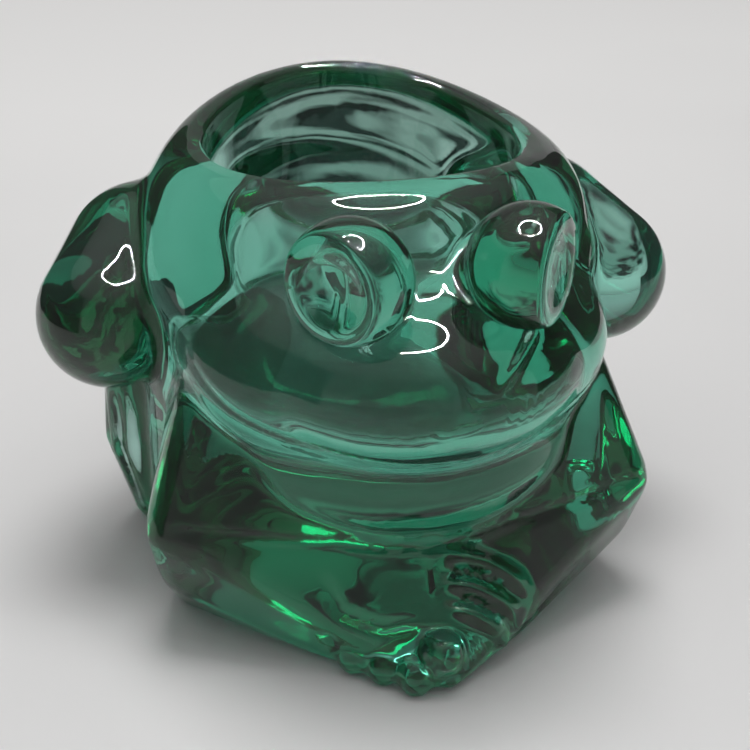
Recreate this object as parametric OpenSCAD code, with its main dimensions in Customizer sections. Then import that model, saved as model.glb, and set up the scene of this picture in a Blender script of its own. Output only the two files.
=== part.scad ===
// Flower frog: a pressed-glass frog with a round open well in its back.
// One solid piece of glass. The frog looks along -Y, +Z is up, and the
// origin sits on the underside, straight below the middle of the well.

/* [Overall] */
// Height of the well's rim at the front
rim_h = 74; // [60:1:95]
// Width across the two knees
frog_w = 111; // [90:1:140]
// Distance the crossed hands reach forward of the well's axis
front_reach = 58; // [50:1:75]
// Distance the rump reaches behind the well's axis
back_reach = 46; // [40:1:60]

/* [Well] */
// Diameter of the round well
well_d = 52; // [36:1:66]
// Glass left under the well
well_floor = 24; // [12:1:40]
// Glass between the well and the outside at the widest part
well_wall = 12; // [6:0.5:18]
// Rounding at the foot of the well's wall
well_fillet = 7; // [2:0.5:12]
// Rounding of the rim's inner edge
lip_round = 2.4; // [1:0.2:4]
// How far the rim dips on the left and the right
rim_dip = 2.6; // [0:0.2:5]
// How far the rim rises at the back
back_rise = 2.8; // [0:0.2:4]

/* [Head] */
// Width of the head across the cheeks
head_w = 71; // [50:1:90]
// Diameter of each eye
eye_d = 19; // [12:0.5:26]
// Distance between the middles of the eyes
eye_gap = 27.5; // [20:0.5:40]
// Distance from an eye's middle to its flat outer face
eye_flat = 6.6; // [4:0.2:9]
// Depth of the round iris sunk in that face
iris_deep = 0.8; // [0.3:0.1:1.5]
// How far each eye looks to its own side, in degrees
eye_look = 52; // [20:2:80]

/* [Limbs] */
// Thickness of a forearm
arm_d = 19; // [12:0.5:26]
// Width across the two elbows
elbow_w = 87; // [70:1:110]
// Height of a knee's middle above the table
knee_h = 45; // [36:1:60]
// Height of the knee's rounded end
knee_tall = 25; // [20:1:36]
// Thickness of the knee from front to back
knee_thick = 26; // [18:1:40]
// Distance between the outer sides of the rear feet
feet_w = 88; // [70:1:110]

/* [Smoothness] */
// Number of skin points round the frog
skin_n = 88; // [60:4:96]
// How softly the forms melt into one another
melt = 1.5; // [0.8:0.1:2.5]

/* [Hidden] */

$fn = 96;
eps = 0.01;

// Scales of the frog's forms against its overall sizes
kx = frog_w / 111;
ky = front_reach / 58;
kz = rim_h / 74;

// Well and barrel
well_r = well_d / 2;
barrel_r = well_r + well_wall;
barrel_mid = 38 * kz;
barrel_power = 4.6;
crest_z = rim_h + back_rise;
crest_gain = pow(1 - pow((well_r + lip_round) / barrel_r, barrel_power), -1 / barrel_power);

// Spine the skin is measured from: upright to hub_h, then a fan from its top
hub_y = -9 * ky;
hub_h = 27 * kz;
low_rings = 10;
fan_rings = 40;

glass_green = [0.10, 0.55, 0.38, 0.62];

// Egg shapes on the middle of the frog: [middle, radii]
head_eggs = [
    [[0, -21 * ky, 46 * kz], [head_w / 2, 30.5 * ky, 21.5 * kz]],
    [[0, -33 * ky, 47 * kz], [head_w / 2 - 8.5, 23.5 * ky, 15.5 * kz]],
    [[0, -19 * ky, 30 * kz], [head_w / 2 - 4.5, 28 * ky, 19 * kz]],
    [[0, -20 * ky, 14 * kz], [30 * kx, 28 * ky, 20 * kz]],
    [[0, back_reach - 34, 36 * kz], [36 * kx, 34, 40 * kz]],
    [[0, -8 * ky, 54 * kz], [38.5 * kx, 29 * ky, 19 * kz]]
];

eye_r = eye_d / 2;
eye_at = [eye_gap / 2, -44 * ky, 65.5 * kz];
iris_r = 0.55 * eye_r;

knee_x = frog_w / 2 - knee_tall / 2;
foot_r = 8;
foot_x = feet_w / 2 - foot_r;
arm_r = arm_d / 2;
elbow_at = [elbow_w / 2 - arm_r + 1, -29.5 * ky, 18.5 * kz];
heel_r = 6;
base_corner = [32 * kx, -16 * ky, 3];

// Eggs on one side of the frog; the other side is their mirror image
side_eggs = [
    [eye_at, [eye_r, eye_r, eye_r]],
    [[0.9 * eye_at[0], eye_at[1] + 7 * ky, eye_at[2] - 5 * kz], [eye_r + 2, eye_r + 4, eye_r]],
    [[knee_x, -ky, knee_h * kz], [knee_tall / 2, knee_thick / 2, knee_tall / 2 * kz]],
    [[knee_x - 7 * kx, 7 * ky, (knee_h + 5) * kz], [14.2 * kx, knee_thick / 2 + 2, 14.4 * kz]],
    [[foot_x - 2, 9 * ky, 22 * kz], [foot_r, 1.4 * foot_r, 15 * kz]],
    [[foot_x - 3, 14 * ky, 5 * kz], [foot_r + 1, 1.5 * foot_r, 11 * kz]]
];

// Round-ended rods on one side, for the arms: [start, end, radius]
side_rods = [
    [elbow_at - [2, -5, 3], base_corner, arm_r - 2.5],
    [[27 * kx, -26 * ky, 42 * kz], elbow_at, arm_r - 1.2],
    [elbow_at, [0, -front_reach + arm_r + 3, 11.5 * kz], arm_r - 2],
    [base_corner, [0, -front_reach + heel_r, 3], heel_r]
];

function mirror_x(p) = [-p[0], p[1], p[2]];
eggs = concat(head_eggs, side_eggs, [for (s = side_eggs) [mirror_x(s[0]), s[1]]]);
rods = concat(side_rods, [for (s = side_rods) [mirror_x(s[0]), mirror_x(s[1]), s[2]]]);

// Distance along a ray to the far side of an egg shape, or 0 when it misses
function egg_exit(o, d, s) =
    let (
        q = [for (i = [0 : 2]) (o[i] - s[0][i]) / s[1][i]],
        e = [for (i = [0 : 2]) d[i] / s[1][i]],
        a = e * e,
        b = q * e,
        h = b * b - a * (q * q - 1)
    )
    h <= 0 ? 0 : max(0, (sqrt(h) - b) / a);

// The same for a rod with round ends
function rod_exit(o, d, s) =
    let (
        axis = s[1] - s[0],
        off = o - s[0],
        long = axis * axis,
        a = long - pow(axis * d, 2),
        b = long * (off * d) - (axis * off) * (axis * d),
        h = b * b - a * (long * (off * off) - pow(axis * off, 2) - s[2] * s[2] * long),
        t = h <= 0 ? 0 : (sqrt(h) - b) / a,
        along = axis * off + t * (axis * d),
        ball = [s[2], s[2], s[2]]
    )
    max(along > 0 && along < long ? t : 0, egg_exit(o, d, [s[0], ball]), egg_exit(o, d, [s[1], ball]));

// Top of the barrel in a given direction, saddle-shaped and higher at the back
function rim_z(p) =
    let (r = max(norm([p[0], p[1]]), eps))
    rim_h - rim_dip * pow(p[0] / r, 2) + back_rise * pow(max(0, p[1] / r), 2);

// Below 1 inside the barrel, above 1 outside it
function barrel_fill(p) =
    let (half = p[2] > barrel_mid ? crest_gain * (rim_z(p) - barrel_mid) : barrel_mid + 12)
    pow(norm([p[0], p[1]]) / barrel_r, barrel_power)
    + pow(abs(p[2] - barrel_mid) / half, barrel_power);

function barrel_exit(o, d, low = 0, high = 120, n = 16) =
    n == 0 ? (low + high) / 2
    : let (m = (low + high) / 2)
        barrel_fill(o + m * d) < 1 ? barrel_exit(o, d, m, high, n - 1)
        : barrel_exit(o, d, low, m, n - 1);

// The furthest form wins; near ties are melted together
function skin_reach(o, d) =
    let (
        reach = concat(
            [barrel_exit(o, d)],
            [for (s = eggs) egg_exit(o, d, s)],
            [for (s = rods) rod_exit(o, d, s)]
        ),
        top = max(reach),
        near = [for (r = reach) if (r > top - 8 * melt) exp((r - top) / melt)]
    )
    top + melt * ln(near * [for (n = near) 1]);

// Points lie closer together towards the face
function turn(i) = let (t = 360 * i / skin_n) 90 + t + 22 * sin(t);

function ring(o, lift) = [
    for (i = [0 : skin_n - 1])
        let (a = turn(i), d = [cos(a) * cos(lift), sin(a) * cos(lift), sin(lift)])
            o + skin_reach(o, d) * d
];

skin_rings = concat(
    [for (k = [0 : low_rings - 1]) ring([0, hub_y, hub_h * k / low_rings], 0)],
    [for (k = [0 : fan_rings - 1]) ring([0, hub_y, hub_h], 90 * k / fan_rings)]
);
skin_crown = [0, hub_y, hub_h + skin_reach([0, hub_y, hub_h], [0, 0, 1])];
ring_count = low_rings + fan_rings;
crown_i = ring_count * skin_n;

skin_points = concat([for (r = skin_rings) each r], [skin_crown]);

skin_faces = concat(
    [[for (i = [0 : skin_n - 1]) i]],
    [for (k = [0 : ring_count - 2], i = [0 : skin_n - 1])
        let (j = (i + 1) % skin_n, a = k * skin_n, b = a + skin_n)
            each [[a + i, b + i, a + j], [a + j, b + i, b + j]]],
    [for (i = [0 : skin_n - 1])
        [crown_i - skin_n + i, crown_i, crown_i - skin_n + (i + 1) % skin_n]]
);

// Solid frog before the well and the eyes' flat faces are pressed into it
module frog_skin() {
    polyhedron(points = skin_points, faces = skin_faces, convexity = 6);
}

// Room taken out for the well: round wall, rounded foot, softened rim
module well_room() {
    translate([0, 0, well_floor + well_fillet])
        cylinder(r = well_r, h = rim_h + 10 - well_floor - well_fillet);
    translate([0, 0, well_floor])
        cylinder(r = well_r - well_fillet, h = well_fillet + 1);
    translate([0, 0, well_floor + well_fillet])
        rotate_extrude()
            translate([well_r - well_fillet, 0])
                circle(r = well_fillet);
    rotate_extrude()
        difference() {
            translate([well_r - 1, crest_z - lip_round])
                square([lip_round + 1, lip_round + 10]);
            translate([well_r + lip_round, crest_z - lip_round])
                circle(r = lip_round);
        }
}

// Slice off one eye's outer face, with the iris sunk into it
module eye_face(side) {
    translate([side * eye_at[0], eye_at[1], eye_at[2]])
        rotate([90, 0, side * eye_look]) {
            translate([0, 0, eye_flat])
                cylinder(r = 0.95 * eye_r, h = eye_r);
            translate([0, 0, eye_flat - iris_deep])
                cylinder(r = iris_r, h = eye_r);
        }
}

module glass_frog() {
    color(glass_green)
        difference() {
            frog_skin();
            well_room();
            eye_face(1);
            eye_face(-1);
        }
}

glass_frog();
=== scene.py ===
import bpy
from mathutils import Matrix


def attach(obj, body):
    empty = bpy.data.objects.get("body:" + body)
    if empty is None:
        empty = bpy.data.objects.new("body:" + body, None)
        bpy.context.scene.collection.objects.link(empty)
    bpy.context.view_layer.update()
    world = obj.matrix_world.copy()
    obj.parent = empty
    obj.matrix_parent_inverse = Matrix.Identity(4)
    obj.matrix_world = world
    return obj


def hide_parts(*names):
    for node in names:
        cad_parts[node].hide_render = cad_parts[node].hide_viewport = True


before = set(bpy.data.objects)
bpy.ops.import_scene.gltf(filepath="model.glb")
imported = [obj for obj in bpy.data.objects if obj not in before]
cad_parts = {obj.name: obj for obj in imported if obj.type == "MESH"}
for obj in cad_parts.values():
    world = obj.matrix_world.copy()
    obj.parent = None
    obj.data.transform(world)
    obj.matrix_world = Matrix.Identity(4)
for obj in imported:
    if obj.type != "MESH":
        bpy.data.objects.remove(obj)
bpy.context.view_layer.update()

import math

import bmesh
import bpy
from mathutils import Euler, Matrix, Vector
from mathutils.bvhtree import BVHTree
from mathutils.kdtree import KDTree

MM = 0.001  # the pieces are modelled in millimetres and brought to metres at the end

# ---------------------------------------------------------------- camera

CAMERA_AT = Vector((-0.0802, -0.2891, 0.1725))
CAMERA_AIM = Vector((0.0030, -0.0008, 0.0284))
CAMERA_ROLL = math.radians(1.3)
CAMERA_LENS = 90.9


def set_camera():
    """A long lens a third of a metre away, looking down on the frog's face."""
    data = bpy.data.cameras.new("studio_camera")
    data.lens = CAMERA_LENS
    data.sensor_width = 36
    data.clip_start = 0.01
    data.clip_end = 20
    camera = bpy.data.objects.new("studio_camera", data)
    bpy.context.scene.collection.objects.link(camera)
    turn = (CAMERA_AIM - CAMERA_AT).to_track_quat("-Z", "Y").to_matrix().to_4x4()
    camera.matrix_world = Matrix.Translation(CAMERA_AT) @ turn @ Matrix.Rotation(CAMERA_ROLL, 4, "Z")
    bpy.context.scene.camera = camera


set_camera()

# ---------------------------------------------------------------- sizes

RIM_TOP = 74.4
LIP = 1.5
RIM_DIP = 2.6
BACK_RISE = 2.8
TOP_LEAN = 0.8  # the barrel's top sits a little to one side
WELL_R = 26.0
WELL_FLOOR = 24.0
WELL_FILLET = 7.0
WELL_TOP = 88.0  # where the well's cutting form ends, clear above the rim
CRISP = math.radians(38)  # edges folded more than this show as edges
TRUNK_GRAIN = 1.1  # size of the skin's grain, finer as finer forms are added
LIMB_GRAIN = 0.9
HAND_GRAIN = 0.77
FOOT_FLAT = 0.25  # skin lower than this is pressed flat on the table

EYE_AT = (13.8, -44.5, 65.8)
EYE_R = 9.7
EYE_LOOK = 52.0
EYE_FLAT = 4.9
IRIS_R = 6.3
IRIS_DEEP = 1.3
EYE_LIP = 0.5  # flat ring left round the iris
EYE_BEVEL = 0.35  # width of the ball's cut edge


# ---------------------------------------------------------------- forms


def placed(at, radii=(1, 1, 1), turn=(0, 0, 0)):
    return Matrix.LocRotScale(Vector(at), Euler([math.radians(a) for a in turn]), Vector(radii))


def mirrored(at):
    return (-at[0], at[1], at[2])


def add_egg(bm, at, radii, turn=(0, 0, 0)):
    bmesh.ops.create_icosphere(bm, subdivisions=5, radius=1, matrix=placed(at, radii, turn))


def add_egg_pair(bm, at, radii, turn=(0, 0, 0)):
    add_egg(bm, at, radii, turn)
    add_egg(bm, mirrored(at), radii, (turn[0], -turn[1], -turn[2]))


def add_limb(bm, points, radii):
    """A run of balls joined by tapered lengths."""
    for at, r in zip(points, radii):
        bmesh.ops.create_icosphere(bm, subdivisions=4, radius=r, matrix=placed(at))
    for a, b, ra, rb in zip(points, points[1:], radii, radii[1:]):
        a, b = Vector(a), Vector(b)
        turn = (b - a).to_track_quat("Z", "Y").to_matrix().to_4x4()
        bmesh.ops.create_cone(
            bm, cap_ends=True, segments=40, radius1=ra, radius2=rb, depth=(b - a).length,
            matrix=Matrix.Translation((a + b) / 2) @ turn)


def add_limb_pair(bm, points, radii):
    add_limb(bm, points, radii)
    add_limb(bm, [mirrored(p) for p in points], radii)


def add_wedge(bm, balls):
    """The tight skin round a set of balls, each given as (x, y, z, radius)."""
    wedge = bmesh.new()
    for x, y, z, r in balls:
        bmesh.ops.create_icosphere(wedge, subdivisions=3, radius=r, matrix=placed((x, y, z)))
    bmesh.ops.delete(wedge, geom=wedge.edges[:], context="EDGES_FACES")
    skin = bmesh.ops.convex_hull(wedge, input=wedge.verts[:], use_existing_faces=False)
    kept = {v for v in skin["geom"] if isinstance(v, bmesh.types.BMVert)}
    bmesh.ops.delete(wedge, geom=[v for v in wedge.verts if v not in kept], context="VERTS")
    add_mesh(bm, wedge)


def add_wedge_pair(bm, balls):
    add_wedge(bm, balls)
    add_wedge(bm, [(-x, y, z, r) for x, y, z, r in balls])


def add_spun(bm, profile, steps=128):
    """A profile of (radius, height) points turned about the upright axis."""
    rim = [bm.verts.new((r, 0, z)) for r, z in profile]
    edges = [bm.edges.new(pair) for pair in zip(rim, rim[1:])]
    bmesh.ops.spin(
        bm, geom=rim + edges, axis=(0, 0, 1), cent=(0, 0, 0), dvec=(0, 0, 0),
        angle=2 * math.pi, steps=steps, use_merge=True, use_duplicate=False)
    bmesh.ops.remove_doubles(bm, verts=bm.verts, dist=0.001)
    bmesh.ops.recalc_face_normals(bm, faces=bm.faces)


def arc(cx, cz, r, start, end, n=10):
    """Points on a circle, from one angle to another in degrees."""
    return [(cx + r * math.cos(math.radians(a)), cz + r * math.sin(math.radians(a)))
            for a in [start + (end - start) * k / n for k in range(n + 1)]]


def ease(x, low, high):
    t = min(max((x - low) / (high - low), 0), 1)
    return t * t * (3 - 2 * t)


def to_object(bm, name):
    mesh = bpy.data.meshes.new(name)
    bm.to_mesh(mesh)
    obj = bpy.data.objects.new(name, mesh)
    bpy.context.scene.collection.objects.link(obj)
    return obj


def from_object(obj):
    """The object's mesh with its modifiers applied, as a new bmesh. The object is removed."""
    seen = obj.evaluated_get(bpy.context.evaluated_depsgraph_get())
    mesh = bpy.data.meshes.new_from_object(seen)
    bm = bmesh.new()
    bm.from_mesh(mesh)
    bpy.data.meshes.remove(mesh)
    bpy.data.objects.remove(obj, do_unlink=True)
    return bm


def soften(bm, factor):
    bmesh.ops.smooth_vert(
        bm, verts=bm.verts, factor=factor, use_axis_x=True, use_axis_y=True, use_axis_z=True)


def polish(bm, passes):
    """Takes out the grain without shrinking the form: a smoothing step, then one back out."""
    for _ in range(passes):
        soften(bm, 0.5)
        firm = [v.co.copy() for v in bm.verts]
        soften(bm, 0.53)
        for v, co in zip(bm.verts, firm):
            v.co = 2 * co - v.co


def one_skin(bm, grain, passes):
    """Melts overlapping forms into one skin with an even grain, then smooths it."""
    obj = to_object(bm, "melting")
    bm.free()
    melt = obj.modifiers.new("one_skin", "REMESH")
    melt.mode = "VOXEL"
    melt.voxel_size = grain
    out = from_object(obj)
    for _ in range(passes):
        soften(out, 0.5)
    return out


def add_mesh(bm, other):
    """Adds another bmesh's forms to this one."""
    mesh = bpy.data.meshes.new("adding")
    other.to_mesh(mesh)
    bm.from_mesh(mesh)
    bpy.data.meshes.remove(mesh)
    other.free()


def draw_line(bm, points, width, lift):
    """Raises, or with a negative lift presses in, a soft line that follows the skin."""
    skin = BVHTree.FromBMesh(bm)
    tree = KDTree(len(bm.verts))
    for i, v in enumerate(bm.verts):
        tree.insert(v.co, i)
    tree.balance()
    reach = 2.2 * width
    points = [Vector(p) for p in points]
    whole = sum((b - a).length for a, b in zip(points, points[1:]))
    gone = 0.0
    near = {}
    for a, b in zip(points, points[1:]):
        steps = max(2, math.ceil((b - a).length / (0.25 * width)))
        for k in range(steps + 1):
            along = (gone + (b - a).length * k / steps) / whole
            strength = math.sin(math.pi * min(max(along, 0.02), 0.98)) ** 0.5
            foot = skin.find_nearest(a.lerp(b, k / steps))[0]
            for _, i, gap in tree.find_range(foot, reach):
                if gap < near.get(i, (reach, 0))[0]:
                    near[i] = (gap, strength)
        gone += (b - a).length
    bm.verts.ensure_lookup_table()
    bm.normal_update()
    moves = [(bm.verts[i], bm.verts[i].normal * lift * s * math.exp(-2 * (gap / width) ** 2))
             for i, (gap, s) in near.items()]
    for v, move in moves:
        v.co += move


def draw_line_pair(bm, points, width, lift):
    draw_line(bm, points, width, lift)
    draw_line(bm, [mirrored(p) for p in points], width, lift)


def rim_rise(x, y):
    """How far the barrel's top stands above its height at the front, in the direction of (x, y)."""
    out = max(math.hypot(x, y), 0.001)
    return BACK_RISE * max(0, y / out) ** 2 - RIM_DIP * (x / out) ** 2


def eye_ball(side):
    """A ball with its outer side sliced flat and a shallow dish ground into the slice."""
    eye = bmesh.new()
    face_r = math.sqrt(EYE_R ** 2 - EYE_FLAT ** 2)
    edge = math.degrees(math.atan2(EYE_FLAT, face_r))
    ball = arc(0, 0, EYE_R, -90, edge - 3, 28)
    dish = [(IRIS_R * k / 8, EYE_FLAT - IRIS_DEEP * (1 - (k / 8) ** 2)) for k in range(8, -1, -1)]
    add_spun(eye, ball + [(face_r - EYE_BEVEL, EYE_FLAT), (IRIS_R + EYE_LIP, EYE_FLAT)] + dish, 96)
    look = Vector((side * math.sin(math.radians(EYE_LOOK)), -math.cos(math.radians(EYE_LOOK)), 0))
    turn = look.to_track_quat("Z", "Y").to_matrix().to_4x4()
    place = Matrix.Translation((side * EYE_AT[0], *EYE_AT[1:]))
    bmesh.ops.transform(eye, matrix=place @ turn, verts=eye.verts)
    return eye


def well_room():
    """The room of the well: round wall, rounded foot, and a soft lip that follows the rim."""
    room = bmesh.new()
    inner = WELL_R - WELL_FILLET
    lip = [(WELL_R + LIP * (1 - math.cos(math.radians(a))), RIM_TOP - LIP * (1 - math.sin(math.radians(a))))
           for a in range(0, 81, 16)]
    add_spun(room, [(0, WELL_FLOOR)] + arc(inner, WELL_FLOOR + WELL_FILLET, WELL_FILLET, -90, 0)
             + [(WELL_R, 45), (WELL_R, 60)] + lip + [(lip[-1][0], WELL_TOP), (0, WELL_TOP)])
    for v in room.verts:
        v.co.z += rim_rise(v.co.x, v.co.y) * ease(v.co.z, 60, RIM_TOP - LIP)
    return room


def trunk():
    """Barrel, head, haunches and rear feet, softly melted together."""
    bm = bmesh.new()
    add_spun(bm, [(0, -3), (33, -3), (36, 4), (37, 20), (38, 40), (38.7, 50), (38.5, 58), (37.6, 63.5),
                  (35.8, 68), (33.6, 71.4), (31.2, 73.5), (28.6, 74.4), (24, 74.4), (0, 74.4)])
    for v in bm.verts:
        rise = rim_rise(v.co.x, v.co.y)
        v.co.x += TOP_LEAN * ease(v.co.z, 45, 70)
        v.co.z += rise * ease(v.co.z, 40, 70)
    add_egg(bm, (0, -21, 46), (35.5, 30.5, 20))
    add_egg(bm, (0, -33, 47), (27, 23.5, 15.3))
    add_egg(bm, (0, -40.5, 55.1), (15.5, 19.5, 6.2), (33, -7, 0))
    add_egg(bm, (0, -19, 30), (31, 28.3, 19))
    add_egg(bm, (0, 12, 36), (36, 34, 40))
    add_egg(bm, (0, -20, 14), (30, 26, 20))
    add_egg(bm, (0, -8, 54), (38.5, 29, 19))
    return one_skin(bm, TRUNK_GRAIN, 10)


def add_legs(bm):
    """Haunch, knee and rear foot on each side."""
    add_limb_pair(bm, [(27, 17, 48), (35.2, 9, 49.6), (43, -1.5, 45)], [13.6, 13.8, 12.4])
    add_limb_pair(bm, [(36.6, 7, 30), (36.2, 9, 17), (33, 10, 4.5)], [7, 7.2, 6.2])


def add_arms(bm):
    """Each arm is one wedge: shoulder, elbow, the crisp fold over the forearm, and the base edge."""
    add_wedge_pair(bm, [
        (30.8, -23.5, 38.5, 5.2), (26, -10, 36, 8),
        (37.6, -30.2, 19.6, 5.2), (34.6, -27.8, 12, 6.2), (33, -20, 3.5, 4.5),
        (20, -36.2, 17.6, 1.6), (9, -41.6, 17.6, 1.6), (0, -44.4, 18, 1.6),
        (29, -28, 1.6, 1.6), (15, -44.2, 1.6, 1.6), (0, -56.2, 1.6, 1.6), (0, -10, 10, 6)])


def add_hands(bm):
    """The thumb of the upper hand and the fingertips of the lower one."""
    add_egg(bm, (-0.8, -55.4, 6.4), (3.4, 3.4, 3.4))
    for at, r in (((-12.8, -47.4, 2.6), 2.9), ((-9.0, -51.0, 2.5), 3.0), ((-4.8, -54.8, 2.6), 3.2)):
        add_egg(bm, at, (r, r, r))
    add_limb(bm, [(-30, -25.5, 8.5), (-20, -36.5, 6.6), (-6, -49.5, 6.0)], [5.2, 4.6, 3.6])


def draw_hands(bm):
    """Fingers, palm and wrist, drawn on the slope below the fold."""
    fingers = [
        [(1.5, -45.7, 17.4), (4.5, -43.9, 16.0), (8.4, -42.4, 13.1), (11.7, -41.7, 9.9), (12.8, -41.8, 8.4)],
        [(1.6, -47.9, 13.9), (4.8, -46.3, 11.9), (8.3, -45.2, 9.0), (10.9, -44.8, 6.4)],
        [(1.8, -50.0, 10.8), (4.6, -48.8, 8.6), (7.4, -48.0, 6.0), (9.0, -47.6, 4.4)]]
    for finger in fingers:
        draw_line(bm, finger, 2.0, 1.5)
    for a, b in zip(fingers, fingers[1:]):
        gap = [tuple(Vector(p).lerp(Vector(q), 0.5)) for p, q in zip(a, b)]
        draw_line(bm, gap, 0.9, -0.8)
    wrist = [(19.7, -35.2, 11.5), (17.8, -38.6, 7.8), (15.3, -42.1, 5.5), (11.9, -46.4, 3.0)]
    draw_line(bm, wrist, 1.5, -1.1)
    seam = [(0, -45.8, 18.5), (-0.5, -48.8, 15.0), (-0.8, -51.0, 11.5)]
    draw_line(bm, seam, 0.9, 0.7)
    palm = [(-14.7, -38.8, 12.5), (-13.2, -42.1, 8.6), (-8.6, -47.0, 8.0), (-3.0, -51.0, 9.7)]
    draw_line(bm, palm, 1.1, -0.9)


def join(bm, other, operation):
    """Exact union or difference of two closed forms, with crisp edges where they meet."""
    body, tool = to_object(bm, "body"), to_object(other, "tool")
    bm.free()
    other.free()
    step = body.modifiers.new("join", "BOOLEAN")
    step.operation = operation
    step.solver = "EXACT"
    step.object = tool
    out = from_object(body)
    bpy.data.objects.remove(tool, do_unlink=True)
    return out


def frog():
    """The whole skin: melted forms, drawn lines, then the crisp eyes and the well."""
    bm = trunk()
    add_legs(bm)
    add_arms(bm)
    bm = one_skin(bm, LIMB_GRAIN, 4)
    add_egg_pair(bm, (11.3, -37.5, 59.6), (8.2, 9.5, 8.0))
    add_hands(bm)
    bm = one_skin(bm, HAND_GRAIN, 1)
    polish(bm, 10)

    mouth = [(34, -26, 48), (29, -36, 42.5), (22, -44, 39), (12, -49.5, 37), (0, -51.5, 36.8),
             (-12, -49.5, 37), (-22, -44, 39), (-29, -36, 42.5), (-34, -26, 48)]
    draw_line(bm, mouth, 1.0, -0.9)
    draw_line(bm, [(x, y, z - 2.2) for x, y, z in mouth[1:-1]], 0.9, -0.35)
    fold = [(41, -29, 20), (32, -34, 20), (20, -38.6, 19.8), (9, -43.6, 19.8), (0, -46.2, 20),
            (-9, -43.6, 19.8), (-20, -38.6, 19.8), (-32, -34, 20), (-41, -29, 20)]
    draw_line(bm, fold, 1.0, -0.6)
    mould_seam = [(17.0, -46.0, 58.5), (14.2, -49.0, 56.6), (10.5, -52.0, 53.9), (6.8, -54.0, 51.0)]
    draw_line(bm, mould_seam, 0.9, 0.5)
    draw_hands(bm)
    for x, y in ((43.5, 2), (44, 8)):
        draw_line_pair(bm, [(x, y, 27), (x + 1, y, 16), (x - 3, y + 1, 3)], 1.3, -0.9)
    polish(bm, 3)
    for v in bm.verts:
        if v.co.z < FOOT_FLAT:
            v.co.z = 0

    bm = join(bm, eye_ball(1), "UNION")
    bm = join(bm, eye_ball(-1), "UNION")
    bm = join(bm, well_room(), "DIFFERENCE")
    bmesh.ops.triangulate(bm, faces=[f for f in bm.faces if len(f.verts) > 4])
    for f in bm.faces:
        f.smooth = True
    for e in bm.edges:
        e.smooth = e.calc_face_angle(0) < CRISP
    bmesh.ops.scale(bm, vec=(MM, MM, MM), verts=bm.verts)
    return to_object(bm, "glass_frog_skin")


# ---------------------------------------------------------------- finishes


class Wire:
    """A shader socket that Python's own operators add maths to."""

    def __init__(self, tree, socket):
        self.tree, self.socket = tree, socket

    def _math(self, operation, other, swap=False):
        node = self.tree.nodes.new("ShaderNodeMath")
        node.operation = operation
        pair = (other, self) if swap else (self, other)
        for slot, value in zip(node.inputs, pair):
            if isinstance(value, Wire):
                self.tree.links.new(value.socket, slot)
            else:
                slot.default_value = value
        return Wire(self.tree, node.outputs[0])

    def __add__(self, other): return self._math("ADD", other)
    __radd__ = __add__
    def __sub__(self, other): return self._math("SUBTRACT", other)
    def __rsub__(self, other): return self._math("SUBTRACT", other, True)
    def __mul__(self, other): return self._math("MULTIPLY", other)
    __rmul__ = __mul__


class Finish:
    """A material or world, and the one way its nodes are made."""

    def __init__(self, block):
        self.block = block
        block.use_nodes = True
        self.tree = block.node_tree
        self.tree.nodes.clear()

    def node(self, kind, settings=None, **sockets):
        made = self.tree.nodes.new("ShaderNode" + kind)
        for key, value in (settings or {}).items():
            setattr(made, key, value)
        for key, value in sockets.items():
            slot = made.inputs[key.replace("_", " ")]
            if isinstance(value, Wire):
                self.tree.links.new(value.socket, slot)
            else:
                slot.default_value = value
        return made

    def out(self, node, name=0):
        return Wire(self.tree, node.outputs[name])

    def ramp(self, value, *stops):
        """A colour ramp from value, with (place, level or colour) stops."""
        made = self.node("ValToRGB", Fac=value)
        elements = made.color_ramp.elements
        for k, (place, level) in enumerate(stops):
            stop = elements[k] if k < 2 else elements.new(place)
            stop.position = place
            stop.color = (*level, 1) if isinstance(level, tuple) else (level, level, level, 1)
        return self.out(made)

    def done(self, surface, volume=None, end="OutputMaterial"):
        made = self.node(end)
        self.tree.links.new(surface.outputs[0], made.inputs["Surface"])
        if volume:
            self.tree.links.new(volume.outputs[0], made.inputs["Volume"])
        return self.block


def material(name):
    return Finish(bpy.data.materials.new(name))


def green_glass():
    """Clear fire-polished glass, slightly rippled, that takes its colour from its thickness."""
    f = material("pressed_green_glass")
    place = f.out(f.node("TexCoord"), "Object")
    ripple = f.out(f.node("TexNoise", Vector=place, Scale=55.0, Detail=2.0, Roughness=0.5,
                          Distortion=0.6), "Fac")
    chill = f.out(f.node("TexNoise", Vector=place, Scale=210.0, Detail=2.0, Roughness=0.5), "Fac")
    bump = f.node("Bump", Strength=0.5, Distance=0.0002, Height=ripple + chill * 0.05)
    glass = f.node("BsdfPrincipled", Base_Color=(1, 1, 1, 1), Roughness=0.015, IOR=1.52,
                   Normal=f.out(bump))
    glass.inputs["Transmission Weight"].default_value = 0.982
    inside = f.node("VolumeAbsorption", Color=(0.02, 0.72, 0.56, 1), Density=49.0)
    return f.done(glass, inside)


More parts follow.
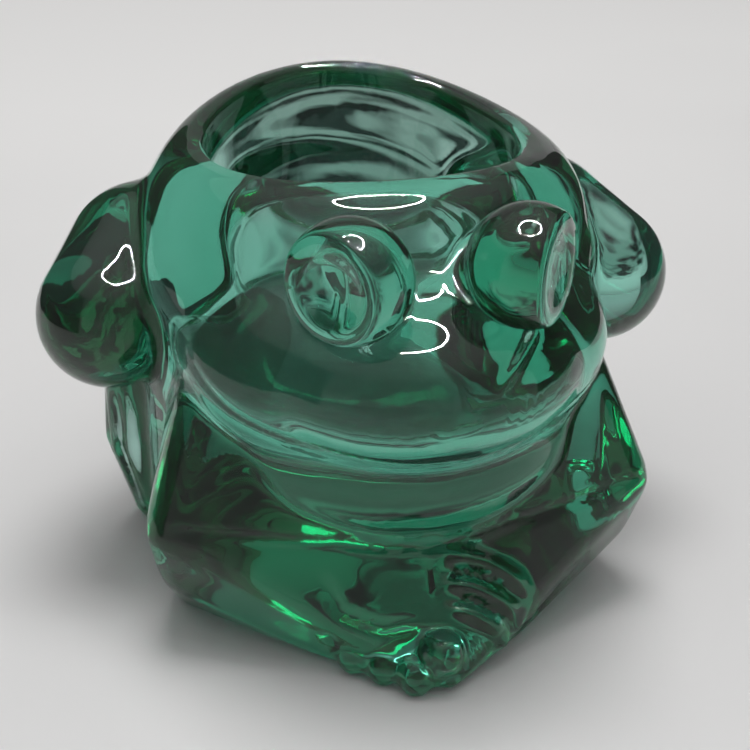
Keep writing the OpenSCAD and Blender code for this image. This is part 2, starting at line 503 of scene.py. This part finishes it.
def table_finish():
    """A pale table with painted light and shade: a little lighter towards the back, and darkened right under
    the frog.
    """
    f = material("pale_table")
    place = f.out(f.node("TexCoord"), "Object")
    cloud = f.out(f.node("TexNoise", Vector=place, Scale=6.0, Detail=2.0), "Fac")
    # painted light: on top of a random tone, the colour grows lighter towards the back, as if more lamp
    # light fell there
    depth = f.out(f.node("SeparateXYZ", Vector=place), "Y")
    tone_and_painted_light = f.ramp(cloud * 0.4 + depth * 2.0 + 0.3, (0, (0.66, 0.655, 0.655)), (1, (0.92, 0.91, 0.90)))
    # painted shade: the table is darkened right under the frog, where hardly any light reaches it
    apart = f.out(f.node("VectorMath", {"operation": "LENGTH"}, Vector=place), "Value")
    painted_shade_under = f.ramp(apart * 10.0, (0.20, 0.10), (0.36, 1))
    tone_with_painted_shade = f.node("Mix", {"data_type": "RGBA", "blend_type": "MULTIPLY"})
    tone_with_painted_shade.inputs[0].default_value = 1.0
    for slot, colour in ((6, tone_and_painted_light), (7, painted_shade_under)):
        f.tree.links.new(colour.socket, tone_with_painted_shade.inputs[slot])
    return f.done(f.node("BsdfPrincipled", Base_Color=f.out(tone_with_painted_shade, 2), Roughness=0.55))


def glow(name, strength):
    f = material(name)
    return f.done(f.node("Emission", Color=(1, 1, 1, 1), Strength=strength))


def patchy_painted_shadow(middle, spread, heading):
    """Painted shadow: dark blots on a dim grey, fading to clear at the outside."""
    f = material("patchy_painted_shadow")
    place = f.out(f.node("TexCoord"), "Object")
    local = f.node("Mapping", {"vector_type": "TEXTURE"}, Vector=place, Location=middle,
                   Rotation=(0, 0, math.radians(heading)), Scale=spread)
    reach = f.out(f.node("VectorMath", {"operation": "LENGTH"}, Vector=f.out(local)), "Value")
    patchy = f.out(f.node("TexNoise", Vector=place, Scale=42.0, Detail=1.0), "Fac")
    fade = f.ramp(reach + patchy * 0.7 - 0.35, (0.50, 0), (1, 1))
    # painted shadow: dark blots where the frog's shadow falls on the table behind it
    shadow_blots = f.ramp(patchy, (0.42, 0.02), (0.56, (0.30, 0.34, 0.32)))
    card = f.node("Emission", Color=shadow_blots, Strength=1.0)
    both = f.node("MixShader", Fac=fade)
    for slot, part in ((1, card), (2, f.node("BsdfTransparent"))):
        f.tree.links.new(part.outputs[0], both.inputs[slot])
    return f.done(both)


# ---------------------------------------------------------------- studio

TABLE_Z = -0.0003
RING_AT = (0.004, -0.044, 0.420)
RING_R = 0.105
RING_BEADS = 72
BEAD_R = 0.003
CARD_REACH = 0.28
CARD_TALL = 0.25
PATCH_AT = (0.036, 0.128, 0.0006)
PATCH_SPREAD = (0.062, 0.118, 1)
PATCH_HEADING = -15.5
PATCH_EDGE = 1.4  # the card's outside, in spreads
ROOF_AT = (0.02, 0.14, 0.85)
ROOF_ACROSS = 0.45
ROOF_WATTS = 3.2


def staged(bm, name, look, *unseen_by):
    """Puts a form on the stage, out of sight of the kinds of light named last."""
    obj = to_object(bm, name)
    obj.data.materials.append(look)
    for kind in unseen_by:
        setattr(obj, "visible_" + kind, False)


def table_top():
    bm = bmesh.new()
    bmesh.ops.create_grid(
        bm, x_segments=1, y_segments=1, size=3.0, matrix=Matrix.Translation((0, 0, TABLE_Z)))
    staged(bm, "table_top", table_finish())


def lamp_ring():
    """A beaded ring of light above the frog. Only reflections see it."""
    bm = bmesh.new()
    aim = placed(RING_AT, (RING_R, RING_R, RING_R))
    for k in range(RING_BEADS):
        a = 2 * math.pi * k / RING_BEADS
        at = aim @ Vector((math.cos(a), math.sin(a), 0))
        bmesh.ops.create_icosphere(bm, subdivisions=2, radius=BEAD_R, matrix=Matrix.Translation(at))
    staged(bm, "lamp_ring", glow("lamp_glow", 700.0), "camera", "diffuse", "transmission", "shadow")


def dark_card(name, start, end):
    """A tall dark card bent round the frog, out of the camera's sight, for the glass's dark edges."""
    bm = bmesh.new()
    steps = 24
    foot = []
    for k in range(steps + 1):
        a = math.radians(start + (end - start) * k / steps)
        foot.append(bm.verts.new((CARD_REACH * math.sin(a), -CARD_REACH * math.cos(a), 0.002)))
    edges = [bm.edges.new(pair) for pair in zip(foot, foot[1:])]
    up = bmesh.ops.extrude_edge_only(bm, edges=edges)
    risen = [v for v in up["geom"] if isinstance(v, bmesh.types.BMVert)]
    bmesh.ops.translate(bm, verts=risen, vec=(0, 0, CARD_TALL))
    staged(bm, name, glow(name, 0.03), "camera", "diffuse", "shadow")


def painted_shadow_patch():
    """A patchy dark card laid behind the frog as its painted shadow. Only light that has come through the
    glass meets it.
    """
    bm = bmesh.new()
    bmesh.ops.create_circle(
        bm, cap_ends=True, segments=64, radius=PATCH_EDGE,
        matrix=placed(PATCH_AT, PATCH_SPREAD, (0, 0, PATCH_HEADING)))
    look = patchy_painted_shadow(PATCH_AT, PATCH_SPREAD, PATCH_HEADING)
    staged(bm, "painted_shadow_patch", look, "camera", "diffuse", "glossy", "shadow")


def tent_roof():
    """The broad lamp overhead. Reflections don't see it."""
    data = bpy.data.lights.new("tent_roof", "AREA")
    data.shape = "DISK"
    data.size = ROOF_ACROSS
    data.energy = ROOF_WATTS
    lamp = bpy.data.objects.new("tent_roof", data)
    lamp.location = ROOF_AT
    lamp.rotation_euler = (-Vector(ROOF_AT)).to_track_quat("-Z", "Y").to_euler()
    lamp.visible_glossy = False
    bpy.context.scene.collection.objects.link(lamp)


def tent():
    """A dim room, brighter overhead and near the table than at the sides."""
    world = bpy.data.worlds.new("light_tent")
    bpy.context.scene.world = world
    f = Finish(world)
    across = f.out(f.node("TexCoord"), "Generated")
    height = f.out(f.node("SeparateXYZ", Vector=across), "Z")
    level = f.ramp(height, (0, 0.45), (1, 0.62), (0.10, 0.45), (0.30, 0.25), (0.60, 0.25), (0.80, 0.50))
    f.done(f.node("Background", Color=level, Strength=1.0), end="OutputWorld")


# ---------------------------------------------------------------- making

skin = frog()
skin.data.materials.append(green_glass())
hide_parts("glass_frog")
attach(skin, "root")

table_top()
lamp_ring()
dark_card("dark_card_left", 190, 300)
dark_card("dark_card_right", 60, 140)
painted_shadow_patch()
tent()
tent_roof()
bpy.context.scene.view_settings.view_transform = "Standard"
paths = bpy.context.scene.cycles
paths.caustics_refractive = False  # the table gets no light bent by the glass
paths.max_bounces, paths.glossy_bounces, paths.transmission_bounces = 32, 24, 24
